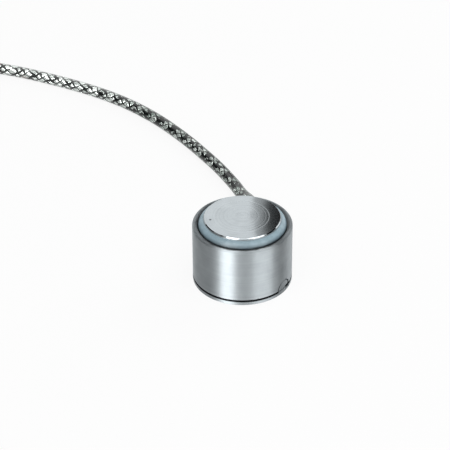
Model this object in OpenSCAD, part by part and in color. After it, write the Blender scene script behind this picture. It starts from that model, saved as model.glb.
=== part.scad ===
// Compression load cell: a small stainless button cell with a braided, screened cable.
// Z is up, the load axis is the Z axis, and z = 0 is the ground underside of the base.
// The front, where the key and its notch are seen, faces -Y, and the cable leaves at the back.

/* [Body] */
// Outside diameter of the casing and of the base flange
body_d = 20; // [18:0.5:24]
// Height of the casing rim above the underside
rim_h = 13; // [12:0.25:16]
// Wall of the casing over most of its height
casing_wall = 1.3; // [1.2:0.1:1.6]
// Wall of the casing above the washer seat
rim_wall = 1.05; // [1:0.01:1.12]
// Depth of the washer seat below the rim
seat_depth = 2; // [1.5:0.1:2.2]
// Rounding of the outer edge of the rim
rim_round = 0.4; // [0.2:0.05:0.4]
// Rounding of the inner edge of the rim
rim_inner_round = 0.6; // [0.3:0.05:0.6]

/* [Base] */
// Height of the flange lip below the seam
lip_h = 1; // [0.6:0.1:1.6]
// Rounding of the lower edge of the lip
lip_round = 0.25; // [0.1:0.05:0.4]
// Height of the base, from its underside to the floor of the chamber
base_h = 2.4; // [2:0.1:2.8]
// Height of the seam between the casing and the lip
seam_gap = 0.26; // [0.1:0.02:0.34]
// How far the sealant in the seam lies below the surface
seam_recess = 0.35; // [0.2:0.05:0.5]

/* [Key and notch] */
// Radius of the half-round notch in the lower edge of the casing
notch_r = 2; // [1.7:0.1:2.4]
// Bearing of the notch, from the front towards the right
notch_bearing = 56; // [30:0.5:80]
// Gap round the key in its notch
key_gap = 0.26; // [0.1:0.02:0.3]
// Width of the pry slot under the right side of the key
slot_w = 1.3; // [0.8:0.1:1.6]
// Height of the pry slot
slot_h = 0.9; // [0.6:0.1:1.4]
// Height of the pry slot's floor above the underside
slot_floor = 0.45; // [0.3:0.05:0.8]

/* [Load button] */
// Width of the ring-shaped gap between the button and the rim, which the seal fills
seal_w = 1.25; // [1:0.05:2]
// Height of the button's edge above the rim
button_rise = 1.48; // [1:0.02:2]
// Height of the button from its underside to its edge
button_t = 3.6; // [3:0.1:4.5]
// Radius of the crowned top
crown_r = 90; // [60:5:200]
// Diameter of the flat land at the middle of the crown
land_d = 3; // [2:0.5:5]
// Chamfer of the button's upper edge
button_chamfer = 0.15; // [0.1:0.05:0.3]

/* [Spring column] */
// Width across the flats of the gauged column
column_w = 6.6; // [6:0.1:7.2]
// Rounding of the column's corners
column_round = 0.8; // [0.4:0.1:1.2]
// Fillet where the column meets the base and the button
column_fillet = 1.1; // [0.6:0.1:1.2]

/* [Top seal] */
// Gap between the button and the washer, and round the washer
washer_clearance = 0.05; // [0.03:0.01:0.1]
// Thickness of the washer that carries the seal
washer_t = 0.3; // [0.2:0.05:0.5]
// How far the seal stays below the button's edge
seal_inner_drop = 0.4; // [0.3:0.05:0.7]
// How far the seal stays below the rim
seal_outer_drop = 0.6; // [0.3:0.05:0.8]
// Radius of the seal's rounded face
seal_face_r = 1.9; // [1.6:0.1:3]

/* [Strain gauges] */
// Width of a gauge
gauge_w = 3.2; // [2.6:0.1:3.6]
// Share of the column's straight height that a gauge covers
gauge_share = 0.67; // [0.6:0.01:0.72]
// Thickness of the gauge's film
film_t = 0.1; // [0.06:0.01:0.14]
// Thickness of the foil grid
foil_t = 0.04; // [0.03:0.01:0.06]
// Side of a gauge's solder tab
tab_w = 0.7; // [0.5:0.05:0.8]
// Distance between the middles of the two tabs
tab_pitch = 1.6; // [1.3:0.1:1.8]
// Diameter of a gauge wire
gauge_wire_d = 0.2; // [0.14:0.02:0.26]

/* [Bridge board] */
// Thickness of the ring board
board_t = 0.6; // [0.5:0.1:0.8]
// Gap between the ring board and the casing
board_gap = 0.6; // [0.3:0.1:0.9]
// Gap between the board's hole and the fillet at the column's foot
hole_gap = 0.16; // [0.1:0.02:0.4]
// Distance of the gauge wires' joints from the edge of the board's hole
pad_inset = 0.5; // [0.45:0.05:0.8]
// Length of a chip resistor
chip_l = 1.6; // [1.2:0.1:2]
// Width of a chip resistor
chip_w = 0.8; // [0.6:0.1:1.2]
// Height of a chip resistor
chip_h = 0.5; // [0.4:0.05:0.6]
// Width of a solder joint at the board
joint_d = 0.8; // [0.6:0.05:0.9]
// Height of a solder joint
joint_h = 0.3; // [0.2:0.05:0.4]
// Diameter of an insulated wire of the cable
lead_d = 0.5; // [0.4:0.02:0.56]

/* [Cable exit] */
// Diameter of the cable over its clear jacket
cable_d = 2.6; // [2.2:0.1:2.8]
// Height of the cable's axis where it leaves the casing
cable_z = 5; // [4.9:0.1:5.6]
// Bearing of the cable, from straight back towards the right
cable_bearing = 7; // [0:1:14]
// Gap between the cable and the tube that it passes through
cable_clearance = 0.05; // [0.03:0.01:0.1]
// Outside diameter of the entry tube
entry_d = 4.2; // [3.8:0.1:4.6]
// How far the entry tube stands out of the casing
entry_out = 2.2; // [1.6:0.1:3]
// How far the entry tube reaches into the chamber
entry_in = 0.3; // [0.2:0.1:0.6]
// Outside diameter of the crimp ferrule on the cable's inner end
ferrule_d = 3.2; // [3:0.05:3.3]
// Length of the crimp ferrule
ferrule_l = 1; // [0.8:0.1:1.3]
// Length of the rubber strain relief
relief_l = 5.5; // [5:0.5:6.5]
// Diameter of the strain relief at the casing
relief_d = 5.4; // [5.2:0.1:6]
// Diameter of the strain relief at its tip
relief_tip_d = 3.6; // [3.4:0.1:4]

/* [Cable store] */
// Mean diameter of the coil
coil_d = 28.6; // [26:0.2:32]
// Layers of turns in the coil
coil_rows = 4; // [3:1:5]
// Turns side by side in a layer
coil_cols = 4; // [3:1:4]
// Width of a coil tie
tie_w = 2.2; // [1.6:0.2:3]
// Thickness of a coil tie
tie_t = 0.5; // [0.4:0.05:0.8]
// Length of the heat-shrink sleeve at the cable's end, along its arc
sleeve_l = 10; // [8:0.5:12]
// Outside diameter of the heat-shrink sleeve
sleeve_d = 3.2; // [3.1:0.1:3.6]
// Diameter of a wire at the cable's free end
tail_d = 0.7; // [0.5:0.05:0.75]
// Visible length of the insulated wires at the cable's end
tail_l = 16; // [10:1:20]
// Length of a tinned tip
tip_l = 4; // [3:0.5:6]
// Diameter of a tinned tip
tip_d = 0.45; // [0.3:0.05:0.5]

/* [Hidden] */

$fn = 96;

body_r = body_d / 2;
casing_bore_r = body_r - casing_wall;
rim_bore_r = body_r - rim_wall;
casing_z = lip_h + seam_gap;
seat_z = rim_h - seat_depth;
// Running gap between the casing's bore and the base that it slides over
spigot_gap = 0.02;
spigot_r = casing_bore_r - spigot_gap;
// How far solids of one piece run into each other
merge = 0.1;
// How far a cutting solid runs past the faces that it cuts
overcut = 1;

button_r = rim_bore_r - seal_w;
button_edge_z = rim_h + button_rise;
button_z = button_edge_z - button_t;
crown_rise = crown_r - sqrt(crown_r * crown_r - button_r * button_r);
land_drop = crown_r - sqrt(crown_r * crown_r - land_d * land_d / 4);
land_z = button_edge_z + crown_rise - land_drop;

// Key in the notch
key_setback = 0.12;
key_face_r = body_r - key_setback;
key_root = 0.3;
key_r = notch_r - key_gap;
slot_x = notch_r - key_gap - slot_w;

// Gauges: a gauge stands on each flat, right, rear, left and front, by its turn about Z
gauge_turns = [0, 90, 180, 270];
flat_x = column_w / 2;
// Radius of the round neck that the flats run out into at both ends, a little past the rounded corners
neck_step = 0.1;
neck_r = flat_x * sqrt(2) - column_round * (sqrt(2) - 1) + neck_step;
gauge_z = (base_h + button_z) / 2;
gauge_l = gauge_share * (button_z - base_h - 2 * column_fillet);
tab_z = gauge_z - gauge_l / 2 + tab_w;
grid_strips = 5;
grid_margin = 0.3;
// Gap between the solder tabs and the grid
tab_gap = 0.2;
// How far the foil is sunk in the film
foil_sink = foil_t / 2;

// Board
board_r = casing_bore_r - board_gap;
board_hole_r = neck_r + column_fillet + hole_gap;
board_mid_r = (board_r + board_hole_r) / 2;
board_top_z = base_h + board_t;
wire_pad_r = board_hole_r + pad_inset;
joint_top_z = board_top_z + joint_h;
joint_tip_d = 0.55;
chip_turns = [205, 235, 315];
lead_turns = [-48, -28, 28, 48];
// Offset of each of the four wires from the cable's axis, both ways
wire_spread = 0.5;

// Cable exit: the exit frame has +X outwards along the cable
exit_turn = 90 - cable_bearing;
cable_r = cable_d / 2;
cable_bore_r = cable_r + cable_clearance;
entry_start = casing_bore_r - entry_in;
entry_end = body_r + entry_out;
ferrule_end = entry_start;
ferrule_start = ferrule_end - ferrule_l;
// Gap between the strain relief and the casing, and length of its full-width collar past the tube
relief_gap = 0.15;
relief_collar = 0.3;
relief_start = body_r + relief_gap;
relief_end = body_r + relief_l;

// Route of the cable on the surface that the cell stands on, in whole or round millimetres
exit_dir = [cos(exit_turn), sin(exit_turn), 0];
exit_point = relief_end * exit_dir + [0, 0, cable_z];
coil_x = -84;
coil_y = 66;
coil_lift = 0.6;
// Layers nest in each other, so that they are nearer than the cable's diameter
layer_pitch = 0.87 * cable_d;
half_cols = (coil_cols - 1) / 2;
stagger = cable_d / 4;
coil_inner_r = coil_d / 2 - half_cols * cable_d - stagger - cable_r;
coil_outer_r = coil_d / 2 + half_cols * cable_d + stagger + cable_r;
coil_top_z = coil_lift + cable_d + (coil_rows - 1) * layer_pitch;
outer_turn_r = coil_outer_r - cable_r;
coil_entry_l = 11;
// Length of straight cable at both ends of the route
straight_l = 2.4;
coil_entry = [coil_x + coil_entry_l, coil_y + outer_turn_r, coil_lift + cable_r];
cable_route = concat(
  [exit_point, exit_point + straight_l * exit_dir],
  [[2.2, 20.4, 4.0], [1.8, 22.8, 3.1], [1.1, 25.2, 2.2], [0.1, 27.8, 1.6], [-1.6, 32.2, 1.3],
   [-4.6, 38.2, 1.3], [-8.0, 43.9, 1.3], [-11.6, 49.5, 1.3], [-16.2, 55.8, 1.3], [-20.5, 60.8, 1.3],
   [-25.5, 65.6, 1.3], [-31.0, 69.8, 1.3], [-37.0, 73.5, 1.3], [-43.5, 76.9, 1.3], [-50.0, 79.9, 1.3],
   [-56.5, 82.3, 1.3], [-61.5, 83.7, 1.4], [-66.2, 84.6, 1.7]],
  [coil_entry + [straight_l, 0, 0], coil_entry]);
cable_sides = 8;
cable_rings = 46;

// The cable's free end lies on the coil; turns are counted from the coil's +X
store_r = coil_d / 2;
rest_gap = 0.02;
store_z = coil_top_z + sleeve_d / 2 + rest_gap;
stub_from = 96;
stub_to = 150;
degrees_per_mm = 180 / (PI * store_r);
sleeve_to = stub_to + sleeve_l * degrees_per_mm;
tail_to = sleeve_to + tail_l * degrees_per_mm;
tip_to = tail_to + tip_l * degrees_per_mm;
tail_gap = 0.08;
tail_pitch = tail_d + tail_gap;
tail_z = coil_top_z + tail_d / 2 + rest_gap;
tie_turns = [40, 300];
tie_clearance = 0.1;

steel = [0.74, 0.76, 0.77];
foil = [0.78, 0.66, 0.42];
solder = [0.76, 0.77, 0.78];
board_green = [0.16, 0.38, 0.22];
braid = [0.62, 0.65, 0.64];
rubber_black = [0.09, 0.09, 0.10];
wire_colours = [[0.72, 0.08, 0.07], [0.06, 0.06, 0.07], [0.08, 0.42, 0.16], [0.90, 0.90, 0.88]];

// A flat outline, from (x0, y0) to (x1, y1), with its four corners rounded
module rounded_outline(x0, y0, x1, y1, r) {
  translate([x0 + r, y0]) square([x1 - x0 - 2 * r, y1 - y0]);
  translate([x0, y0 + r]) square([x1 - x0, y1 - y0 - 2 * r]);
  for (x = [x0 + r, x1 - r], y = [y0 + r, y1 - r]) translate([x, y]) circle(r = r);
}

// A turned solid from a flat outline of radius and height
module turned(angle = 360) {
  rotate_extrude(angle = angle) children();
}

// Whatever is drawn along +X, moved to a turn about the load axis
module at_turn(turn) {
  rotate([0, 0, turn]) children();
}

// A round bar along +X, from x0 to x1
module bar_x(x0, x1, r) {
  translate([x0, 0, 0]) rotate([0, 90, 0]) cylinder(h = x1 - x0, r = r);
}

// The turned neck at an end of the column, with a concave fillet that widens towards z; up is 1 or -1
module column_neck(z, up) {
  turned() difference() {
    translate([0, min(z - merge * up, z + column_fillet * up)])
      square([neck_r + column_fillet, column_fillet + merge]);
    translate([neck_r + column_fillet, z + column_fillet * up]) circle(r = column_fillet);
  }
}

// Half-round bar through the casing wall at the notch, on the flange lip
module notch_bar(r, from_r, to_r) {
  at_turn(notch_bearing - 90) translate([0, 0, lip_h]) bar_x(from_r, to_r, r);
}

module base_flange() {
  turned() {
    difference() {
      square([body_r, lip_h]);
      translate([body_r - lip_round, 0]) square([lip_round, lip_round]);
    }
    translate([body_r - lip_round, lip_round]) circle(r = lip_round);
    square([spigot_r, base_h]);
  }
}

module load_button() {
  turned() difference() {
    intersection() {
      translate([0, button_z]) square([button_r, button_t + crown_rise]);
      translate([0, button_edge_z + crown_rise - crown_r]) circle(r = crown_r, $fn = 720);
      translate([0, button_z]) square([button_r, land_z - button_z]);
    }
    translate([button_r, button_edge_z]) rotate(45)
      square(button_chamfer * sqrt(2), center = true);
  }
}

module gauged_column() {
  translate([0, 0, base_h - merge])
    linear_extrude(button_z - base_h + 2 * merge)
      rounded_outline(-flat_x, -flat_x, flat_x, flat_x, column_round);
}

// The key is part of the flange: a half-round tongue that stands in the casing's notch
module key() {
  intersection() {
    turned() translate([spigot_r - key_root, lip_h - merge])
      square([key_face_r - spigot_r + key_root, notch_r + merge]);
    notch_bar(key_r, spigot_r - overcut, body_r + overcut);
  }
}

// The pry slot, cut into the lip and the right side of the key
module pry_slot() {
  at_turn(notch_bearing - 90) translate([spigot_r, slot_x, slot_floor])
    cube([body_r, slot_w + key_gap, slot_h]);
}

module spring_element() color(steel) difference() {
  union() {
    base_flange();
    column_neck(base_h, 1);
    gauged_column();
    column_neck(button_z, -1);
    load_button();
    key();
  }
  pry_slot();
}

module casing() color(steel) difference() {
  turned() difference() {
    union() {
      translate([casing_bore_r, casing_z]) square([casing_wall, rim_h - rim_round - casing_z]);
      translate([casing_bore_r, rim_h - rim_round - merge])
        square([casing_wall - rim_round, rim_round + merge]);
      translate([body_r - rim_round, rim_h - rim_round]) circle(r = rim_round);
    }
    translate([casing_bore_r - overcut, seat_z])
      square([rim_bore_r - casing_bore_r + overcut, seat_depth + overcut]);
    translate([rim_bore_r - overcut, rim_h - rim_inner_round]) difference() {
      square([rim_inner_round + overcut, rim_inner_round + overcut]);
      translate([rim_inner_round + overcut, 0]) circle(r = rim_inner_round);
    }
  }
  notch_bar(notch_r, casing_bore_r - overcut, body_r + overcut);
  in_exit() bar_x(casing_bore_r - overcut, body_r + overcut, entry_d / 2);
}

module seam_sealant() color([0.10, 0.10, 0.11]) difference() {
  turned() translate([spigot_r, lip_h]) square([body_r - seam_recess - spigot_r, seam_gap]);
  notch_bar(notch_r, spigot_r - overcut, body_r + overcut);
}

module seal_washer() color(steel) turned()
  translate([button_r + washer_clearance, seat_z])
    square([rim_bore_r - button_r - 2 * washer_clearance, washer_t]);

// The seal's face is an arc from the button down to the rim; its centre is on the arc's chord bisector
seal_a = [button_r, button_edge_z - seal_inner_drop];
seal_b = [rim_bore_r, rim_h - seal_outer_drop];
seal_chord = seal_b - seal_a;
seal_mid = (seal_a + seal_b) / 2;
seal_reach = sqrt(seal_face_r * seal_face_r - norm(seal_chord) * norm(seal_chord) / 4);
seal_centre = seal_mid + [seal_chord[1], -seal_chord[0]] / norm(seal_chord) * seal_reach;

module top_seal() color([0.55, 0.66, 0.70]) turned() {
  bottom_z = seat_z + washer_t;
  intersection() {
    translate([button_r, bottom_z]) square([rim_bore_r - button_r, seal_a[1] - bottom_z]);
    union() {
      translate(seal_centre) circle(r = seal_face_r);
      translate([button_r, bottom_z]) square([rim_bore_r - button_r, seal_centre[1] - bottom_z]);
    }
  }
}

// A gauge on the +X flat: film, two tabs and a grid whose strips run up or across
module gauge(along) {
  grid_w = gauge_w - 2 * grid_margin;
  grid_z = tab_z + tab_w / 2 + tab_gap;
  grid_l = gauge_z + gauge_l / 2 - grid_margin - grid_z;
  span = along ? grid_w : grid_l;
  strip = span / (2 * grid_strips - 1);
  translate([flat_x, -gauge_w / 2, gauge_z - gauge_l / 2]) cube([film_t, gauge_w, gauge_l]);
  foil_x = flat_x + film_t - foil_sink;
  foil_h = foil_t + foil_sink;
  for (side = [-1, 1]) translate([foil_x, side * tab_pitch / 2 - tab_w / 2, tab_z - tab_w / 2])
    cube([foil_h, tab_w, tab_w]);
  for (i = [0 : grid_strips - 1])
    if (along) translate([foil_x, -grid_w / 2 + 2 * i * strip, grid_z]) cube([foil_h, strip, grid_l]);
    else translate([foil_x, -grid_w / 2, grid_z + 2 * i * strip]) cube([foil_h, grid_w, strip]);
}
foil_face_x = flat_x + film_t + foil_t;

// Points along a smooth curve through given points
function bend(a, b, c, d, t) =
  0.5 * (2 * b + (c - a) * t + (2 * a - 5 * b + 4 * c - d) * t * t + (3 * b - a - 3 * c + d) * t * t * t);
function on_route(p, u) =
  let (last = len(p) - 1, i = min(floor(u * last), last - 1), t = u * last - i)
  bend(i > 0 ? p[i - 1] : 2 * p[0] - p[1], p[i], p[i + 1],
       i + 2 <= last ? p[i + 2] : 2 * p[last] - p[last - 1], t);
function unit(v) = v / norm(v);
function heading(p, u) = unit(on_route(p, min(u + 0.0001, 1)) - on_route(p, max(u - 0.0001, 0)));

// One closed tube swept along a route; aside is a direction that the route never takes
module swept(p, r, rings, sides, aside) {
  corners = [for (k = [0 : rings])
    let (u = k / rings, c = on_route(p, u), t = heading(p, u),
         s = unit(cross(aside, t)), n = cross(t, s))
      for (j = [0 : sides - 1]) c + r * (cos(360 * j / sides) * s + sin(360 * j / sides) * n)];
  walls = [for (k = [0 : rings - 1], j = [0 : sides - 1])
    let (a = k * sides + j, b = k * sides + (j + 1) % sides)
      each [[a, b + sides, b], [a, a + sides, b + sides]]];
  start_cap = [for (j = [0 : sides - 1]) j];
  end_cap = [for (j = [sides - 1 : -1 : 0]) rings * sides + j];
  polyhedron(points = corners, faces = concat(walls, [start_cap, end_cap]));
}

// Two fine wires from a gauge's tabs out and down to the board
module gauge_wires() {
  for (side = [-1, 1]) {
    y = side * tab_pitch / 2;
    fall = tab_z - joint_top_z;
    run = wire_pad_r - foil_face_x;
    swept([[foil_face_x, y, tab_z], [foil_face_x + 0.3 * run, y, tab_z],
           [foil_face_x + 0.65 * run, y, tab_z - 0.45 * fall],
           [foil_face_x + 0.92 * run, y, joint_top_z + 0.25 * fall], [wire_pad_r, y, joint_top_z]],
          gauge_wire_d / 2, 10, 6, [0, 1, 0]);
  }
}

module bridge_board() color(board_green) translate([0, 0, base_h])
  difference() {
    cylinder(h = board_t, r = board_r);
    translate([0, 0, -overcut]) cylinder(h = board_t + 2 * overcut, r = board_hole_r);
  }

module chip(turn) {
  at_turn(turn) translate([board_mid_r - chip_w / 2, -chip_l / 2, board_top_z])
    cube([chip_w, chip_l, chip_h]);
}

module joint_at(x, y) {
  translate([x, y, board_top_z]) cylinder(h = joint_h, d1 = joint_d, d2 = joint_tip_d);
}

module solder_joints() color(solder) {
  for (turn = gauge_turns, side = [-1, 1]) at_turn(turn) joint_at(wire_pad_r, side * tab_pitch / 2);
  for (turn = lead_turns) at_turn(exit_turn + turn) joint_at(board_mid_r, 0);
}

// One of the four insulated wires from the cable's inner end to its joint on the board
module cable_wire(i) {
  turn = lead_turns[i];
  side = turn < 0 ? -1 : 1;
  upper = abs(turn) > 40;
  z0 = cable_z + (upper ? wire_spread : -wire_spread);
  fall = z0 - joint_top_z;
  bend_out = [ferrule_start - 1.6 * lead_d, side * (wire_spread + 2.8 * lead_d)];
  pad = board_mid_r * [cos(turn), sin(turn)];
  at_turn(exit_turn) color(wire_colours[i])
    swept([[ferrule_start, side * wire_spread, z0],
           [ferrule_start - 0.7 * lead_d, side * wire_spread, z0],
           [ferrule_start - 1.5 * lead_d, side * (wire_spread + 1.1 * lead_d), z0],
           [bend_out[0], bend_out[1], z0 - 0.05 * fall],
           [(bend_out[0] + pad[0]) / 2, (bend_out[1] + pad[1]) / 2, z0 - 0.2 * fall],
           [pad[0], pad[1], joint_top_z + 0.4 * fall], [pad[0], pad[1], joint_top_z]],
          lead_d / 2, 14, 6, [1, side, 1]);
}

module in_exit() {
  at_turn(exit_turn) translate([0, 0, cable_z]) children();
}

module crimp_ferrule() color([0.80, 0.68, 0.40]) in_exit() difference() {
  bar_x(ferrule_start, ferrule_end, ferrule_d / 2);
  bar_x(ferrule_start - overcut, ferrule_end + overcut, cable_r);
}

module cable_inner_end() color(braid) in_exit() bar_x(ferrule_start, relief_end, cable_r);

module entry_tube() color(steel) in_exit() difference() {
  bar_x(entry_start, entry_end, entry_d / 2);
  bar_x(entry_start - overcut, entry_end + overcut, cable_bore_r);
}

module strain_relief() color(rubber_black) in_exit() difference() {
  rotate([0, 90, 0]) turned() {
    polygon([[0, relief_start], [relief_d / 2, relief_start],
             [relief_d / 2, entry_end + relief_collar], [relief_tip_d / 2, relief_end], [0, relief_end]]);
  }
  bar_x(relief_start - overcut, entry_end, entry_d / 2);
  bar_x(relief_start - overcut, relief_end + overcut, cable_bore_r);
}

module cable() color(braid) swept(cable_route, cable_r, cable_rings, cable_sides, [0, 0, 1]);

// The coil's outer shape, with the cable's tangent in at the bottom and its free end on top
module cable_coil() color(braid) translate([coil_x, coil_y, 0]) union() {
  turned() rounded_outline(coil_inner_r, coil_lift, coil_outer_r, coil_top_z, cable_r);
  translate([0, outer_turn_r, coil_lift + cable_r]) bar_x(0, coil_entry_l, cable_r);
  rotate([0, 0, stub_from]) turned(stub_to - stub_from) {
    translate([store_r, store_z]) circle(r = cable_r);
    translate([store_r - cable_r / 2, coil_top_z - merge])
      square([cable_r, store_z - coil_top_z]);
  }
}

module coil_tie(turn) {
  inner = [coil_inner_r - tie_clearance, coil_lift - tie_clearance];
  outer = [coil_outer_r + tie_clearance, coil_top_z + tie_clearance];
  color(rubber_black) translate([coil_x, coil_y, 0]) at_turn(turn)
    translate([0, tie_w / 2, 0]) rotate([90, 0, 0]) linear_extrude(tie_w) difference() {
      rounded_outline(inner[0] - tie_t, inner[1] - tie_t, outer[0] + tie_t, outer[1] + tie_t,
                      cable_r + tie_t);
      rounded_outline(inner[0], inner[1], outer[0], outer[1], cable_r);
    }
}

// Pieces that lie on the coil, drawn as arcs round its middle
module on_coil(from, to) {
  translate([coil_x, coil_y, 0]) rotate([0, 0, from]) turned(to - from) children();
}

module end_sleeve() color(rubber_black)
  on_coil(stub_to, sleeve_to) translate([store_r, store_z]) circle(r = sleeve_d / 2);

module tail(i, colour) color(colour)
  on_coil(sleeve_to, tail_to) translate([store_r + (i - 2) * tail_pitch, tail_z]) circle(d = tail_d);

module tinned_tips() color(solder) for (i = [0 : 4])
  on_coil(tail_to, tip_to) translate([store_r + (i - 2) * tail_pitch, tail_z]) circle(d = tip_d);

spring_element();
casing();
seam_sealant();
seal_washer();
top_seal();
color(foil) at_turn(gauge_turns[0]) gauge(true);  // strain_gauge_right
color(foil) at_turn(gauge_turns[1]) gauge(false);  // strain_gauge_rear
color(foil) at_turn(gauge_turns[2]) gauge(true);  // strain_gauge_left
color(foil) at_turn(gauge_turns[3]) gauge(false);  // strain_gauge_front
color(foil) at_turn(gauge_turns[0]) gauge_wires();  // gauge_wires_right
color(foil) at_turn(gauge_turns[1]) gauge_wires();  // gauge_wires_rear
color(foil) at_turn(gauge_turns[2]) gauge_wires();  // gauge_wires_left
color(foil) at_turn(gauge_turns[3]) gauge_wires();  // gauge_wires_front
bridge_board();
color("dimgray") chip(chip_turns[0]);  // zero_resistor
color("dimgray") chip(chip_turns[1]);  // span_resistor
color("dimgray") chip(chip_turns[2]);  // temperature_resistor
solder_joints();
cable_wire(0);  // wire_red
cable_wire(1);  // wire_black
cable_wire(2);  // wire_green
cable_wire(3);  // wire_white
crimp_ferrule();
cable_inner_end();
entry_tube();
strain_relief();
cable();
cable_coil();
coil_tie(tie_turns[0]);  // coil_tie_right
coil_tie(tie_turns[1]);  // coil_tie_front
end_sleeve();
tail(0, wire_colours[0]);  // tail_red
tail(1, wire_colours[1]);  // tail_black
tail(3, wire_colours[2]);  // tail_green
tail(4, wire_colours[3]);  // tail_white
tail(2, braid);  // screen_pigtail
tinned_tips();
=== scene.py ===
"""Looks of a compression load cell: a small steel button cell with a braided, screened cable.

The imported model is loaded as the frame, in metres. Its rigid nodes stay and get their finishes.
The soft pieces are modelled here and stand for their nodes: the seal bead, the strain relief,
the cable with its coil, the ties and the cable's free end. Sizes are in millimetres unless a
docstring says metres.
"""

import logging
import math
from dataclasses import dataclass, field
from enum import Enum
from typing import Callable, Optional, Sequence, Union

import bpy
from mathutils import Matrix, Vector


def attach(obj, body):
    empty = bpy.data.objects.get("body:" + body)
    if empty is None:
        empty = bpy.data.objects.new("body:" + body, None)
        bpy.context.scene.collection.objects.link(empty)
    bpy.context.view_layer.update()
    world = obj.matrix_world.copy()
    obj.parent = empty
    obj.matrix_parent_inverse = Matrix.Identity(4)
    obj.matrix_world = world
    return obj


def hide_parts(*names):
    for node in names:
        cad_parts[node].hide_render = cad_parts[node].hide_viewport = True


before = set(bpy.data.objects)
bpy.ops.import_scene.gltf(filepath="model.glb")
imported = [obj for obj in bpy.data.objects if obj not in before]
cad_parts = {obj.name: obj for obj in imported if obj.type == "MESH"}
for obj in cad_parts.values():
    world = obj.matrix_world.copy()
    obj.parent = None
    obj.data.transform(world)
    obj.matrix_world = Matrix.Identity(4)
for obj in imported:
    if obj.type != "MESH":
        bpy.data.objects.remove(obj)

log = logging.getLogger("load_cell")

MM = 0.001
ROOT = "root"

# Sizes in millimetres that more than one class needs
BUTTON_RADIUS = 7.7
RIM_RADIUS = 8.95
COIL_MIDDLE = (-84.0, 66.0)
COIL_MEAN = 14.3
STORE_HEIGHT = 11.32

WHITE = (1.0, 1.0, 1.0)

Colour = tuple[float, float, float]
Key = Union[int, str]
Piece = bpy.types.Object
Face = bpy.types.MeshPolygon


def srgb(red: float, green: float, blue: float) -> Colour:
    """Turns a colour of 0 to 255 as seen on a screen into a linear one.

    Args:
        red: Red part.
        green: Green part.
        blue: Blue part.

    Returns:
        The linear colour, each part from 0 to 1.
    """

    def linear(part: float) -> float:
        """Gives one part's linear value."""
        share = part / 255
        return share / 12.92 if share <= 0.04045 else ((share + 0.055) / 1.055) ** 2.4

    return linear(red), linear(green), linear(blue)


# Shader maths


def node_operator(operation: str, reflected: bool = False) -> Callable[..., "Signal"]:
    """Makes one of Signal's methods out of a Math node.

    Args:
        operation: The node's operation.
        reflected: Whether the signal comes last, as after a plain number.

    Returns:
        The method.
    """

    def method(self: "Signal", *others: "Operand") -> "Signal":
        """Adds the Math node on this signal and the others."""
        return self.bench.combine(operation, *((*others, self) if reflected else (self, *others)))

    return method


class Signal:
    """A value that varies over a surface: one output socket with Python's operators."""

    def __init__(self, bench: "ShaderBench", socket: bpy.types.NodeSocket) -> None:
        """Wraps a socket of the bench's nodes."""
        self.bench = bench
        self.socket = socket

    __add__ = __radd__ = node_operator("ADD")
    __mul__ = __rmul__ = node_operator("MULTIPLY")
    __sub__, __rsub__ = node_operator("SUBTRACT"), node_operator("SUBTRACT", reflected=True)
    __truediv__, __rtruediv__ = node_operator("DIVIDE"), node_operator("DIVIDE", reflected=True)
    __pow__ = node_operator("POWER")
    __mod__ = node_operator("FLOORED_MODULO")
    __abs__ = node_operator("ABSOLUTE")
    above = node_operator("GREATER_THAN")
    arctan2 = node_operator("ARCTAN2")
    floor = node_operator("FLOOR")
    fraction = node_operator("FRACT")
    larger = node_operator("MAXIMUM")
    sine = node_operator("SINE")

    def ramp(self, low: float, high: float, start: float = 0, end: float = 1) -> "Signal":
        """Runs smoothly from start to end while this runs from low to high.

        Args:
            low: Where the ramp starts.
            high: Where it ends; it may be below low.
            start: The result at and before low.
            end: The result at and past high.

        Returns:
            The ramped value.
        """
        return self.bench.add(
            "ShaderNodeMapRange",
            {"interpolation_type": "SMOOTHSTEP"},
            {0: self, 1: low, 2: high, 3: start, 4: end},
        )


Operand = Union[Signal, float]
NodeInput = Union[Signal, float, tuple]


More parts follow.
